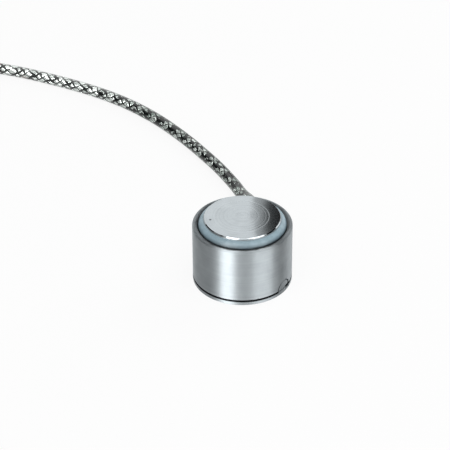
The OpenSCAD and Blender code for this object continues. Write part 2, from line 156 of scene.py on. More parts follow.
class ShaderBench:
    """The nodes of a world, or of a material with its Principled shader."""

    def __init__(self, tree: bpy.types.NodeTree) -> None:
        """Takes up a tree of nodes."""
        self.tree = tree

    @classmethod
    def start(cls, name: str) -> "ShaderBench":
        """Starts an empty material.

        Args:
            name: The material's name.

        Returns:
            The bench of its nodes.
        """
        material = bpy.data.materials.new(name)
        material.use_nodes = True
        bench = cls(material.node_tree)
        bench.material = material
        bench.tree.nodes.clear()
        bench.shader = bench.tree.nodes.new("ShaderNodeBsdfPrincipled")
        bench.output = bench.tree.nodes.new("ShaderNodeOutputMaterial")
        bench.tree.links.new(bench.shader.outputs[0], bench.output.inputs[0])
        return bench

    def add(
        self,
        kind: str,
        settings: Optional[dict[str, object]] = None,
        inputs: Optional[dict[Key, NodeInput]] = None,
        output: Key = 0,
    ) -> Signal:
        """Adds any node.

        Args:
            kind: The node's type.
            settings: Its properties, which are set first.
            inputs: Values or links of its sockets, by index or name.
            output: Which output is given back.

        Returns:
            The chosen output.
        """
        node = self.tree.nodes.new(kind)
        for key, value in (settings or {}).items():
            setattr(node, key, value)
        for key, value in (inputs or {}).items():
            self.feed(node.inputs[key], value)
        return Signal(self, node.outputs[output])

    def feed(self, socket: bpy.types.NodeSocket, value: NodeInput) -> None:
        """Links a signal to a socket, or sets the socket's own value.

        Args:
            socket: The socket.
            value: A signal, a number, a vector or a colour.
        """
        if isinstance(value, Signal):
            self.tree.links.new(value.socket, socket)
        elif isinstance(value, tuple) and len(value) == 3 and socket.type == "RGBA":
            socket.default_value = (*value, 1)
        else:
            socket.default_value = value

    def combine(self, operation: str, *values: Operand) -> Signal:
        """Adds a Math node on values and signals."""
        return self.add("ShaderNodeMath", {"operation": operation}, dict(enumerate(values)))

    def mix(self, share: Operand, first: NodeInput, second: NodeInput) -> Signal:
        """Mixes two colours, with 0 of a share for the first and 1 for the second.

        Args:
            share: The share of the second.
            first: First colour.
            second: Second colour.

        Returns:
            The mixed colour.
        """
        return self.add(
            "ShaderNodeMix", {"data_type": "RGBA"}, {0: share, 6: first, 7: second}, output=2
        )

    def place(self, middle: Sequence[float] = (0, 0, 0), turn: float = 0) -> Signal:
        """Gives the place on the object in millimetres, seen from a turned frame.

        Args:
            middle: The frame's own middle, in millimetres.
            turn: The frame's turn about Z, in degrees.

        Returns:
            The place as a vector.
        """
        at = self.add("ShaderNodeTexCoord", output="Object")
        return self.add(
            "ShaderNodeMapping",
            {"vector_type": "TEXTURE"},
            {
                "Vector": at,
                "Location": tuple(part * MM for part in middle),
                "Rotation": (0, 0, math.radians(turn)),
                "Scale": (MM, MM, MM),
            },
        )

    def parts(self, vector: Signal) -> tuple[Signal, Signal, Signal]:
        """Splits a vector into its three numbers.

        Args:
            vector: The vector.

        Returns:
            Its x, y and z.
        """
        return tuple(
            self.add("ShaderNodeSeparateXYZ", None, {0: vector}, output=part) for part in "XYZ"
        )

    def reach(self, first: Signal, second: Signal) -> Signal:
        """Gives the distance from the middle, out of two directions."""
        return (first * first + second * second) ** 0.5

    def noise(
        self, vector: Optional[Signal] = None, scale: float = 1, detail: float = 2,
        along: Optional[Signal] = None, roughness: float = 0.5,
    ) -> Signal:
        """Adds a noise pattern.

        Args:
            vector: Where it is read, for a pattern in space.
            scale: Cells in a unit of the place.
            detail: Octaves of finer noise.
            along: The one number it is read along, for a pattern in lines.
            roughness: How strong the finer octaves are.

        Returns:
            The noise, about 0 to 1.
        """
        where: dict[Key, NodeInput] = {"W": along} if along else {"Vector": vector}
        return self.add(
            "ShaderNodeTexNoise",
            {"noise_dimensions": "1D" if along else "3D"},
            {**where, "Scale": scale, "Detail": detail, "Roughness": roughness},
        )

    def bump(self, height: Signal, depth: float) -> None:
        """Raises the surface by a height of 0 to 1 times a depth in millimetres.

        Args:
            height: The height.
            depth: The depth in millimetres.
        """
        normal = self.add(
            "ShaderNodeBump", None, {"Height": height, "Distance": depth * MM, "Strength": 1.0}
        )
        self.feed(self.shader.inputs["Normal"], normal)

    def set(self, **values: NodeInput) -> None:
        """Sets or links sockets of the shader, a space in a name given as an underscore."""
        for key, value in values.items():
            self.feed(self.shader.inputs[key.replace("_", " ")], value)


# Finishes


@dataclass(frozen=True)
class Finish:
    """A named surface finish. Each kind paints its own nodes."""

    name: str

    def paint(self, bench: ShaderBench) -> None:
        """Adds this finish's nodes to an empty material."""
        raise NotImplementedError

    def material(self) -> bpy.types.Material:
        """Gives the finish's material, made once.

        Returns:
            The material.
        """
        title = f"look_{self.name}"
        known = bpy.data.materials.get(title)
        if known:
            return known
        bench = ShaderBench.start(title)
        self.paint(bench)
        return bench.material


@dataclass(frozen=True)
class TurnedSteel(Finish):
    """Stainless steel off the lathe: fine grooves round Z, which smear its reflections.

    Heights and radii tell the wall, the rim, the face, the seam and the key's notch apart.
    """

    colour: Colour = srgb(160, 166, 169)
    stain: Colour = srgb(147, 153, 156)
    # Near-black for the nick on the face and for the shade painted in the gaps
    grime_and_shade: Colour = srgb(24, 27, 29)
    wall_roughness: float = 0.46
    rim_roughness: float = 0.62
    face_roughness: float = 0.078
    rim_height: float = 12.3
    face_height: float = 14.2
    anisotropy: float = 0.97
    groove_pitch: float = 0.11
    groove_depth: float = 0.0012
    lip_height: float = 1.0
    seam_band: tuple[float, float] = (0.72, 1.3)
    # Radii of the shade painted at the rim's inner edge, and how much further in it reaches at the
    # front
    rim_shade: tuple[float, float] = (9.15, 9.6)
    front_shade: float = 0.28
    rim_inside: float = 8.3
    lip_inside: float = 8.6
    key_inside: float = 8.0
    key_bearing: float = 56.0
    key_radius: float = 1.74
    notch_radius: float = 2.0
    # Radius and strength of each faint ring on the face, and the place of the nick in it
    rings: tuple[tuple[float, float], ...] = ((5.25, 1.0), (4.6, 0.35), (3.1, 0.3), (1.3, 0.35))
    ring_depth: float = 2.6
    ring_roughness: float = 0.1
    nick: tuple[float, float] = (-6.36, -1.1)

    def painted_shade(self, bench: ShaderBench, place: Signal) -> Signal:
        """Gives 1 where shade is painted dark: in the seam above the lip, at the rim's inner edge
        and beside the key.

        Args:
            bench: The material's nodes.
            place: The place in millimetres.

        Returns:
            The share of painted shade.
        """
        x, y, z = bench.parts(place)
        radius = bench.reach(x, y)
        low, high = self.seam_band
        # Painted shadow in the seam above the lip
        seam = z.ramp(low, low + 0.12) * z.ramp(high - 0.04, high, 1, 0)
        seam = seam * radius.above(self.lip_inside)
        # Painted shade at the rim's inner edge, wider and darker towards the front
        front = (-1 * y / radius).ramp(0.35, 0.95)
        uneven = bench.noise(place, scale=0.7, detail=2).ramp(0.3, 0.7, -0.07, 0.07)
        corner = (radius - front * self.front_shade + uneven).ramp(*self.rim_shade, 1, 0)
        corner = corner * (front * 0.5 + 0.42) * radius.above(self.rim_inside)
        corner = corner * z.above(self.rim_height - 0.3)
        # Painted shadow in the gap beside the key
        turn = math.radians(self.key_bearing)
        out = x * math.sin(turn) - y * math.cos(turn)
        aside = x * math.cos(turn) + y * math.sin(turn)
        arch = bench.reach(aside, z - self.lip_height)
        inside = arch.ramp(self.key_radius - 0.14, self.key_radius - 0.02)
        outside = arch.ramp(self.notch_radius + 0.01, self.notch_radius + 0.1, 1, 0)
        left = aside.ramp(-1.1, -0.3, 1, 0) * z.above(self.lip_height + 0.02)
        beside = inside * outside * left * out.above(self.key_inside)
        key = arch.ramp(self.key_radius, self.key_radius + 0.02, 1, 0) * out.above(self.key_inside)
        return (seam * (1 - key)).larger(corner).larger(beside)

    def paint(self, bench: ShaderBench) -> None:
        """Adds ring grooves, a faint tone change, a nick on the face and painted shade in the
        gaps.

        Args:
            bench: The material's nodes.
        """
        place = bench.place()
        x, y, z = bench.parts(place)
        radius = bench.reach(x, y)
        face = z.ramp(self.face_height, self.face_height + 0.1)
        rim = z.ramp(self.rim_height, self.rim_height + 0.3) * radius.above(self.rim_inside)
        fine = bench.noise(along=radius + z, scale=1 / self.groove_pitch, detail=3, roughness=0.65)
        broad = bench.noise(along=radius - z, scale=1.7, detail=1)
        cloud = bench.noise(place, scale=0.45, detail=3)
        tone = (fine * 0.4 + broad * 0.3 + cloud * 0.5).ramp(0.4, 0.9)
        colour = bench.mix(tone, self.colour, self.stain)
        ring = sum(abs(radius - r).ramp(0.03, 0.22, s, 0) for r, s in self.rings) * face
        nick = bench.reach(x - self.nick[0], y - self.nick[1]).ramp(0.1, 0.34, 1, 0) * face
        colour = bench.mix(nick * 0.85, colour, self.grime_and_shade)
        # Paints the shade in the seam, at the rim's inner edge and beside the key
        colour = bench.mix(self.painted_shade(bench, place), colour, self.grime_and_shade)
        height = (fine * 0.8 + broad * 0.2) * (1 - face * 0.75) - ring * self.ring_depth
        bench.bump(height, self.groove_depth)
        level = (
            self.wall_roughness
            + rim * (1 - face) * (self.rim_roughness - self.wall_roughness)
            + face * (self.face_roughness - self.wall_roughness)
            + ring * self.ring_roughness
        )
        bench.set(
            Base_Color=colour,
            Metallic=1.0,
            Roughness=level * (fine * 0.5 + cloud * 0.5).ramp(0.2, 0.8, 0.92, 1.1),
            Anisotropic=self.anisotropy,
            Anisotropic_Rotation=0.25,
        )


@dataclass(frozen=True)
class DrawnSteel(Finish):
    """Small steel tube along the cable exit, polished by drawing."""

    colour: Colour = srgb(176, 178, 178)
    roughness: float = 0.24
    depth: float = 0.002

    def paint(self, bench: ShaderBench) -> None:
        """Adds drawing lines along the tube and a cloudy roughness.

        Args:
            bench: The material's nodes.
        """
        place = bench.place((0, 0, CableExit.height), CableExit.turn)
        _, y, z = bench.parts(place)
        lines = bench.noise(along=y.arctan2(z), scale=14, detail=3)
        cloud = bench.noise(place, scale=1.5, detail=2)
        bench.bump(lines, self.depth)
        bench.set(
            Base_Color=bench.mix(cloud.ramp(0.3, 0.7), self.colour, srgb(150, 152, 152)),
            Metallic=1.0,
            Roughness=lines.ramp(0.2, 0.8, self.roughness, self.roughness + 0.12),
        )


@dataclass(frozen=True)
class SealRubber(Finish):
    """The blue-grey silicone bead: cast by hand, slightly glossy and mottled."""

    pale: Colour = srgb(152, 175, 186)
    deep: Colour = srgb(134, 158, 168)
    # Painted shade towards the rim
    outer: Colour = srgb(92, 110, 119)
    inner: Colour = srgb(114, 127, 131)
    # Painted shadow in the corner at the rim
    edge_shadow: Colour = srgb(24, 29, 32)
    depth: float = 0.05

    def paint(self, bench: ShaderBench) -> None:
        """Adds mottling, a greyer tone towards the button, painted shade towards the rim and a
        painted shadow in the corner at the rim.

        Args:
            bench: The material's nodes.
        """
        place = bench.place()
        x, y, _ = bench.parts(place)
        radius = bench.reach(x, y)
        mottle = bench.noise(place, scale=0.5, detail=3, roughness=0.5)
        grain = bench.noise(place, scale=9, detail=2)
        body = bench.mix((mottle * 0.85 + grain * 0.15).ramp(0.34, 0.66), self.pale, self.deep)
        # Painted shade, darker towards the rim; the tone is also greyer towards the button
        outward = radius.ramp(RIM_RADIUS - 0.55, RIM_RADIUS - 0.05)
        inward = radius.ramp(BUTTON_RADIUS, BUTTON_RADIUS + 0.25, 0.7, 0)
        shaded = bench.mix(outward * 0.8, bench.mix(inward, body, self.inner), self.outer)
        # Painted shadow in the corner at the rim
        rim_shadow = (radius + grain * 0.05).ramp(RIM_RADIUS - 0.22, RIM_RADIUS - 0.04)
        bench.bump(mottle * 0.6 + grain * 0.4, self.depth)
        bench.set(
            Base_Color=bench.mix(rim_shadow, shaded, self.edge_shadow),
            Roughness=mottle.ramp(0.3, 0.7, 0.30, 0.46),
            Specular_IOR_Level=0.4,
        )


@dataclass(frozen=True)
class Braid(Finish):
    """A tinned copper braid read on the piece's own map, with a clear jacket over it or bare.

    The map's first number is the length in millimetres and its second runs once round. Near the
    body the braid is loose, duller and darker by painted shade, and it tightens along
    loose_length.
    """

    carriers: float = 5
    cell: float = 2.3
    strands: float = 4
    wire: Colour = srgb(226, 232, 228)
    wire_dark: Colour = srgb(116, 128, 122)
    # Near-black painted into the gaps between the bands, as their shade
    gap_shade: Colour = srgb(10, 13, 14)
    copper: Colour = srgb(112, 52, 40)
    loose_length: tuple[float, float] = (48.0, 78.0)
    looseness: float = 0.6
    tightened: float = 0.12
    pairing: float = 0.17
    wander: float = 1.1
    depth: float = 0.34
    edge_tint: Colour = srgb(150, 156, 154)
    dulled: float = 0.4
    jacket: float = 1.0

    def paint(self, bench: ShaderBench) -> None:
        """Adds two sets of helical bands that pass over and under each other.

        Args:
            bench: The material's nodes.
        """
        uv = bench.add("ShaderNodeUVMap", {"uv_map": "UVMap"})
        length, round_, _ = bench.parts(uv)
        rise = length / self.cell
        sway = bench.noise(bench.place((9, 2, 4)), scale=0.45, detail=1) - 0.5
        drift = bench.noise(bench.place((27, 14, 8)), scale=0.45, detail=1) - 0.5
        right = round_ * self.carriers + rise + sway * self.wander
        left = round_ * self.carriers - rise + drift * self.wander
        over = ((right.floor() + left.floor()) % 2).above(0.5)
        under = 1 - over
        across = over * right.fraction() + under * left.fraction()
        on = over * left.fraction() + under * right.fraction()
        band = abs(across * 2 - 1)
        hump = (on * math.pi).sine()
        loose = bench.noise(bench.place((5, 41, 0)), scale=0.62, detail=2, roughness=0.6)
        slack = loose.ramp(0.4, 0.66, 0, self.looseness)
        slack = slack * length.ramp(*self.loose_length, 1, self.tightened)
        pair = ((rise + round_ * 2) * math.pi).sine()
        slack = slack * (pair * 0.5 + 0.9) + pair * self.pairing
        covered = (band + slack).ramp(0.84, 0.6) * (hump - slack * 0.5).ramp(0.14, 0.5)
        wires = (across * (2 * math.pi * self.strands)).sine() * 0.5 + 0.5
        carrier = bench.noise(
            along=(over * right.floor() + under * (left.floor() + 37.3)) * 1.37, scale=1, detail=0
        )
        patch = bench.noise(bench.place(), scale=0.9, detail=2)
        # Painted shade: the wires are darker near the body and lighter further on
        shade_near_body = length.ramp(*self.loose_length, -0.05, 0.14)
        bright = (wires * 0.4 + carrier * 0.5 + patch * 0.5 + shade_near_body).ramp(0.45, 0.95)
        metal = bench.mix(bright, self.wire_dark, self.wire)
        tinge = bench.noise(bench.place((31, 7, 3)), scale=0.16, detail=1).ramp(0.69, 0.73)
        metal = bench.mix(tinge * 0.7, metal, self.copper)
        height = covered * (0.3 + hump * 0.6 + wires * 0.1)
        bench.bump(height, self.depth)
        bench.set(
            # Painted shade in the gaps between the bands
            Base_Color=bench.mix(covered, self.gap_shade, metal),
            Metallic=covered * 0.9,
            Roughness=bright.ramp(0, 1, 0.38, 0.2),
            Specular_Tint=self.edge_tint,
            Coat_Weight=length.ramp(*self.loose_length, self.dulled, 1) * self.jacket,
            Coat_Roughness=0.06,
            Coat_IOR=1.45,
        )


@dataclass(frozen=True)
class Moulded(Finish):
    """Moulded or extruded rubber and plastic, with a fine skin and a softer sheen in patches."""

    colour: Colour = srgb(34, 34, 36)
    worn: Colour = srgb(58, 58, 60)
    roughness: float = 0.5
    grain_scale: float = 7
    grain_depth: float = 0.012
    coat: float = 0.0

    def paint(self, bench: ShaderBench) -> None:
        """Adds a fine grain and faint scuffs.

        Args:
            bench: The material's nodes.
        """
        place = bench.place()
        grain = bench.noise(place, scale=self.grain_scale, detail=3)
        scuff = bench.noise(place, scale=0.8, detail=4, roughness=0.65).ramp(0.5, 0.75)
        bench.bump(grain, self.grain_depth)
        bench.set(
            Base_Color=bench.mix(scuff * 0.5 + grain * 0.15, self.colour, self.worn),
            Roughness=(scuff * 0.5 + grain * 0.5).ramp(0.2, 0.8, self.roughness - 0.08,
                                                       self.roughness + 0.1),
            Coat_Weight=self.coat,
            Coat_Roughness=0.2,
        )


@dataclass(frozen=True)
class TieNylon(Finish):
    """Nylon of a cable tie, with the strap's ridges across it."""

    ridge_pitch: float = 0.45
    colour: Colour = srgb(30, 30, 32)
    worn: Colour = srgb(46, 46, 48)
    depth: float = 0.05

    def paint(self, bench: ShaderBench) -> None:
        """Adds ridges that follow the strap round the turns.

        Args:
            bench: The material's nodes.
        """
        place = bench.place((*COIL_MIDDLE, 0))
        x, y, z = bench.parts(place)
        along = bench.reach(x, y) + z
        ridge = (along * (2 * math.pi / self.ridge_pitch)).sine() * 0.5 + 0.5
        cloud = bench.noise(place, scale=1.2, detail=3)
        bench.bump(ridge, self.depth)
        bench.set(
            Base_Color=bench.mix(cloud.ramp(0.35, 0.7), self.colour, self.worn),
            Roughness=cloud.ramp(0.3, 0.7, 0.36, 0.52),
        )


@dataclass(frozen=True)
class SoftMetal(Finish):
    """Solder, tinned ends, brass and enamelled copper: soft metals with a wavy skin."""

    colour: Colour = srgb(190, 192, 192)
    shade: Colour = srgb(140, 143, 145)
    roughness: float = 0.32
    scale: float = 2.2
    depth: float = 0.03
    coat: float = 0.0

    def paint(self, bench: ShaderBench) -> None:
        """Adds a wavy skin and a change of tone.

        Args:
            bench: The material's nodes.
        """
        place = bench.place()
        wave = bench.noise(place, scale=self.scale, detail=3)
        bench.bump(wave, self.depth)
        bench.set(
            Base_Color=bench.mix(wave.ramp(0.3, 0.7), self.colour, self.shade),
            Metallic=1.0,
            Roughness=wave.ramp(0.3, 0.7, self.roughness, self.roughness + 0.14),
            Coat_Weight=self.coat,
        )


@dataclass(frozen=True)
class GaugeFoil(Finish):
    """A foil gauge: an amber film, with the bright grid and tabs standing out of it."""

    film: Colour = srgb(178, 120, 44)
    foil: Colour = srgb(196, 186, 170)
    foil_face: float = 3.415
    depth: float = 0.004

    def paint(self, bench: ShaderBench) -> None:
        """Colours the foil by its distance from the column's middle.

        Args:
            bench: The material's nodes.
        """
        place = bench.place()
        x, y, _ = bench.parts(place)
        metal = abs(x).larger(abs(y)).ramp(self.foil_face - 0.01, self.foil_face)
        cloud = bench.noise(place, scale=2.5, detail=3)
        film = bench.mix(cloud.ramp(0.3, 0.7), self.film, srgb(150, 96, 34))
        bench.bump(cloud, self.depth)
        bench.set(
            Base_Color=bench.mix(metal, film, self.foil),
            Metallic=metal,
            Roughness=metal.ramp(0, 1, 0.3, 0.26),
            Coat_Weight=0.3,
        )


@dataclass(frozen=True)
class CircuitBoard(Finish):
    """The ring board: green mask with two ring tracks under it and bare pads round the joints."""

    mask: Colour = srgb(28, 92, 52)
    track: Colour = srgb(52, 128, 78)
    tracks: tuple[float, float] = (6.1, 7.7)
    track_width: float = 0.22
    depth: float = 0.012

    def paint(self, bench: ShaderBench) -> None:
        """Adds the tracks and the weave of the glass cloth.

        Args:
            bench: The material's nodes.
        """
        place = bench.place()
        x, y, _ = bench.parts(place)
        radius = bench.reach(x, y)
        inner, outer = (
            abs(radius - r).ramp(self.track_width, self.track_width * 0.8) for r in self.tracks
        )
        copper = inner.larger(outer)
        weave = ((x * 9).sine() * (y * 9).sine()) * 0.5 + 0.5
        bench.bump(weave * 0.3 + copper * 0.7, self.depth)
        bench.set(
            Base_Color=bench.mix(copper * 0.8 + weave * 0.1, self.mask, self.track),
            Roughness=weave.ramp(0, 1, 0.3, 0.4),
            Coat_Weight=0.25,
        )


@dataclass(frozen=True)
class ChipBody(Finish):
    """A chip resistor: a dark glass top between two tinned ends."""

    turn: float = 0
    body: Colour = srgb(26, 28, 32)
    cap: Colour = srgb(186, 188, 188)
    half_top: float = 0.5
    depth: float = 0.006

    def paint(self, bench: ShaderBench) -> None:
        """Colours the ends by the place along the chip.

        Args:
            bench: The material's nodes.
        """
        place = bench.place(turn=self.turn)
        _, along, _ = bench.parts(place)
        end = abs(along).ramp(self.half_top, self.half_top + 0.03)
        grain = bench.noise(place, scale=4, detail=2)
        bench.bump(grain, self.depth)
        bench.set(
            Base_Color=bench.mix(end, bench.mix(grain, self.body, srgb(44, 46, 50)), self.cap),
            Metallic=end,
            Roughness=grain.ramp(0.3, 0.7, 0.26, 0.4),
        )


# Modelling


class Shop:
    """Steps that every modelled piece goes through."""

    @staticmethod
    def clear() -> None:
        """Leaves edit mode and deselects all that is selected."""
        if bpy.context.object and bpy.context.object.mode != "OBJECT":
            bpy.ops.object.mode_set(mode="OBJECT")
        bpy.ops.object.select_all(action="DESELECT")

    @staticmethod
    def take(*pieces: Piece) -> None:
        """Selects only these pieces.

        Args:
            *pieces: The pieces, the one that becomes active first.
        """
        Shop.clear()
        for piece in pieces:
            piece.select_set(True)
        bpy.context.view_layer.objects.active = pieces[0]

    @staticmethod
    def start(name: str, primitive: Callable[..., set[str]], **settings: object) -> Piece:
        """Adds a primitive.

        Args:
            name: The new piece's name.
            primitive: Blender's operator for it.
            **settings: The operator's settings.

        Returns:
            The piece.
        """
        Shop.clear()
        primitive(**settings)
        bpy.context.object.name = name
        return bpy.context.object

    @staticmethod
    def link(name: str, data: bpy.types.ID) -> Piece:
        """Puts a mesh, a lamp or a camera into the scene as an object.

        Args:
            name: The object's name.
            data: Its mesh, lamp or camera.

        Returns:
            The object.
        """
        piece = bpy.data.objects.new(name, data)
        bpy.context.scene.collection.objects.link(piece)
        return piece

    @staticmethod
    def join(name: str, *pieces: Piece) -> Piece:
        """Joins pieces into the first of them.

        Args:
            name: The joined piece's name.
            *pieces: The pieces, the one that stays first.

        Returns:
            The joined piece.
        """
        Shop.take(*pieces)
        bpy.ops.object.join()
        bpy.context.object.name = name
        return bpy.context.object

    @staticmethod
    def extrude(x: float = 0, y: float = 0, z: float = 0) -> None:
        """Extrudes what is selected by a shift in millimetres.

        Args:
            x: Shift along X.
            y: Shift along Y.
            z: Shift along Z.
        """
        bpy.ops.mesh.extrude_region_move(
            TRANSFORM_OT_translate={"value": (x * MM, y * MM, z * MM)}
        )

    @staticmethod
    def edit(piece: Piece, mode: str = "VERT") -> None:
        """Enters edit mode on a piece with all of it selected.

        Args:
            piece: The piece.
            mode: What is selected: VERT, EDGE or FACE.
        """
        Shop.take(piece)
        bpy.ops.object.mode_set(mode="EDIT")
        bpy.ops.mesh.select_mode(type=mode)
        bpy.ops.mesh.select_all(action="SELECT")

    @staticmethod
    def settle(piece: Piece, place: Matrix) -> None:
        """Puts a piece in its place and applies it, so that the object sits at the origin.

        Args:
            piece: The piece.
            place: Its place, in metres.
        """
        Shop.take(piece)
        piece.matrix_world = place @ piece.matrix_world
        bpy.ops.object.transform_apply(location=True, rotation=True, scale=True)

    @staticmethod
    def tidy_normals(piece: Piece) -> None:
        """Merges doubles and turns all faces outwards.

        Args:
            piece: The piece.
        """
        Shop.edit(piece)
        bpy.ops.mesh.remove_doubles(threshold=1e-6)
        bpy.ops.mesh.normals_make_consistent(inside=False)
        bpy.ops.object.mode_set(mode="OBJECT")

    @staticmethod
    def smooth(piece: Piece, angle: float) -> None:
        """Shades a piece smooth, with edges sharper than an angle in degrees left sharp."""
        Shop.take(piece)
        bpy.ops.object.shade_smooth_by_angle(angle=math.radians(angle))

    @staticmethod
    def apply(piece: Piece, kind: str, **settings: object) -> None:
        """Adds a modifier and applies it.

        Args:
            piece: The piece.
            kind: The modifier's type.
            **settings: Its properties.
        """
        Shop.take(piece)
        modifier = piece.modifiers.new(kind.title(), kind)
        for key, value in settings.items():
            setattr(modifier, key, value)
        bpy.ops.object.modifier_apply(modifier=modifier.name)

    @staticmethod
    def round_edges(piece: Piece, width: float, segments: int, angle: float) -> None:
        """Bevels a piece's sharp edges.

        Args:
            piece: The piece.
            width: The bevel's width.
            segments: Steps in the bevel.
            angle: The angle from which an edge counts as sharp, in degrees.
        """
        Shop.apply(
            piece, "BEVEL", width=width * MM, segments=segments, limit_method="ANGLE",
            angle_limit=math.radians(angle),
        )

    @staticmethod
    def pick_faces(piece: Piece, wanted: Callable[[Face], bool]) -> None:
        """Selects the faces that pass a test, and enters edit mode on them.

        Args:
            piece: The piece.
            wanted: The test of a face.
        """
        Shop.edit(piece, "FACE")
        bpy.ops.mesh.select_all(action="DESELECT")
        bpy.ops.object.mode_set(mode="OBJECT")
        for face in piece.data.polygons:
            face.select = wanted(face)
        bpy.ops.object.mode_set(mode="EDIT")

    @staticmethod
    def lathe(name: str, outline: Sequence[tuple[float, float]], segments: int) -> Piece:
        """Turns a closed outline about Z: a ring is extruded, scaled and lifted point by point.

        Args:
            name: The piece's name.
            outline: Radius and height of each corner, in millimetres.
            segments: Faces round the axis.

        Returns:
            The turned piece.
        """
        radius, height = outline[0]
        piece = Shop.start(
            name, bpy.ops.mesh.primitive_circle_add, vertices=segments, radius=radius * MM
        )
        Shop.edit(piece)
        bpy.ops.transform.translate(value=(0, 0, height * MM))
        for next_radius, next_height in [*outline[1:], outline[0]]:
            bpy.ops.mesh.extrude_region_move()
            bpy.ops.transform.translate(value=(0, 0, (next_height - height) * MM))
            scale = next_radius / radius
            bpy.ops.transform.resize(
                value=(scale, scale, 1), center_override=(0, 0, next_height * MM)
            )
            radius, height = next_radius, next_height
        Shop.tidy_normals(piece)
        return piece

    @staticmethod
    def coat(mesh: bpy.types.Mesh, finish: Finish) -> None:
        """Gives a mesh a finish as its only material."""
        mesh.materials.clear()
        mesh.materials.append(finish.material())

    @staticmethod
    def add_piece(piece: Piece, finish: Finish, slot: str, *nodes: str) -> Piece:
        """Gives a finished piece its material and its body.

        Args:
            piece: The piece.
            finish: Its finish.
            slot: Not used.
            *nodes: The nodes that it stands for.

        Returns:
            The same piece.
        """
        Shop.coat(piece.data, finish)
        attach(piece, ROOT)
        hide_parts(*nodes)
        return piece

    @staticmethod
    def dress(finish: Finish, *nodes: str) -> None:
        """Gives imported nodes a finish."""
        for name in nodes:
            Shop.coat(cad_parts[name].data, finish)


@dataclass
class Sweep:
    """A round tube along a smooth line, with a map of its length in mm and its turn."""

    line: list[Vector]
    radii: Callable[[float], float]
    sides: int
    flatten: Callable[[float], float] = field(default=lambda share: 1.0)

    def lengths(self) -> list[float]:
        """Gives the length from the start at each point, in millimetres.

        Returns:
            A length for each point.
        """
        total = [0.0]
        for before, after in zip(self.line, self.line[1:]):
            total.append(total[-1] + (after - before).length)
        return total

    def build(self, name: str) -> Piece:
        """Makes the tube with closed ends.

        Args:
            name: The piece's name.

        Returns:
            The tube, in metres, at the origin.
        """
        lengths = self.lengths()
        side = Vector((0, 0, 1))
        corners: list[Vector] = []
        for index, point in enumerate(self.line):
            before = self.line[max(index - 1, 0)]
            after = self.line[min(index + 1, len(self.line) - 1)]
            heading = (after - before).normalized()
            side = (side - heading * side.dot(heading)).normalized()
            other = heading.cross(side)
            share = lengths[index] / lengths[-1]
            radius, flat = self.radii(share), self.flatten(share)
            for step in range(self.sides):
                angle = 2 * math.pi * step / self.sides
                aside, up = math.cos(angle) * radius * flat, math.sin(angle) * radius / flat
                corners.append((point + side * aside + other * up) * MM)
        n, last = self.sides, len(self.line) - 1
        quads = [
            ((k, j), (k, j + 1), (k + 1, j + 1), (k + 1, j)) for k in range(last) for j in range(n)
        ]
        faces = [tuple(row * n + column % n for row, column in quad) for quad in quads]
        caps = [tuple(reversed(range(n))), tuple(range(last * n, last * n + n))]
        mesh = bpy.data.meshes.new(name)
        mesh.from_pydata(corners, [], faces + caps)
        places = [place for quad in quads for place in quad]
        for loop, (row, column) in zip(mesh.uv_layers.new(name="UVMap").data, places):
            loop.uv = (lengths[row], column / n)
        piece = Shop.link(name, mesh)
        Shop.smooth(piece, 50)
        return piece


def bearing_vector(bearing: float) -> Vector:
    """Gives the level unit vector at a bearing in degrees from +X."""
    return Vector((math.cos(math.radians(bearing)), math.sin(math.radians(bearing)), 0))


def facing(bearing: float, elevation: float, roll: float) -> Matrix:
    """Turns a camera or a lamp to the load cell.

    Args:
        bearing: Where it stands, in degrees from the front towards the right.
        elevation: Its height angle in degrees.
        roll: Its turn about its own line of sight, in degrees.

    Returns:
        The turn, whose Z points away from the load cell.
    """
    return (
        Matrix.Rotation(math.radians(bearing), 4, "Z")
        @ Matrix.Rotation(math.radians(90 - elevation), 4, "X")
        @ Matrix.Rotation(math.radians(roll), 4, "Z")
    )


def ramped(value: float, low: float, high: float) -> float:
    """Gives how far a value has come from low to high, kept within 0 and 1."""
    return min(max((value - low) / (high - low), 0), 1)


def eased(share: float) -> float:
    """Softens the start and the end of a share of 0 to 1."""
    return share * share * (3 - 2 * share)


def smooth_line(points: Sequence[Sequence[float]], step: float) -> list[Vector]:
    """Runs one smooth curve through points.

    Args:
        points: The points, in millimetres.
        step: The wanted distance between points of the result.

    Returns:
        Points along the curve, from the first to the last.
    """
    p = [Vector(q) for q in points]
    p = [2 * p[0] - p[1], *p, 2 * p[-1] - p[-2]]
    line = [p[1]]
    for a, b, c, d in zip(p, p[1:], p[2:], p[3:]):
        pieces = max(1, round((c - b).length / step))
        for k in range(1, pieces + 1):
            t = k / pieces
            line.append(
                0.5 * (2 * b + (c - a) * t + (2 * a - 5 * b + 4 * c - d) * t * t
                       + (3 * b - a - 3 * c + d) * t ** 3)
            )
    return line


# The load cell


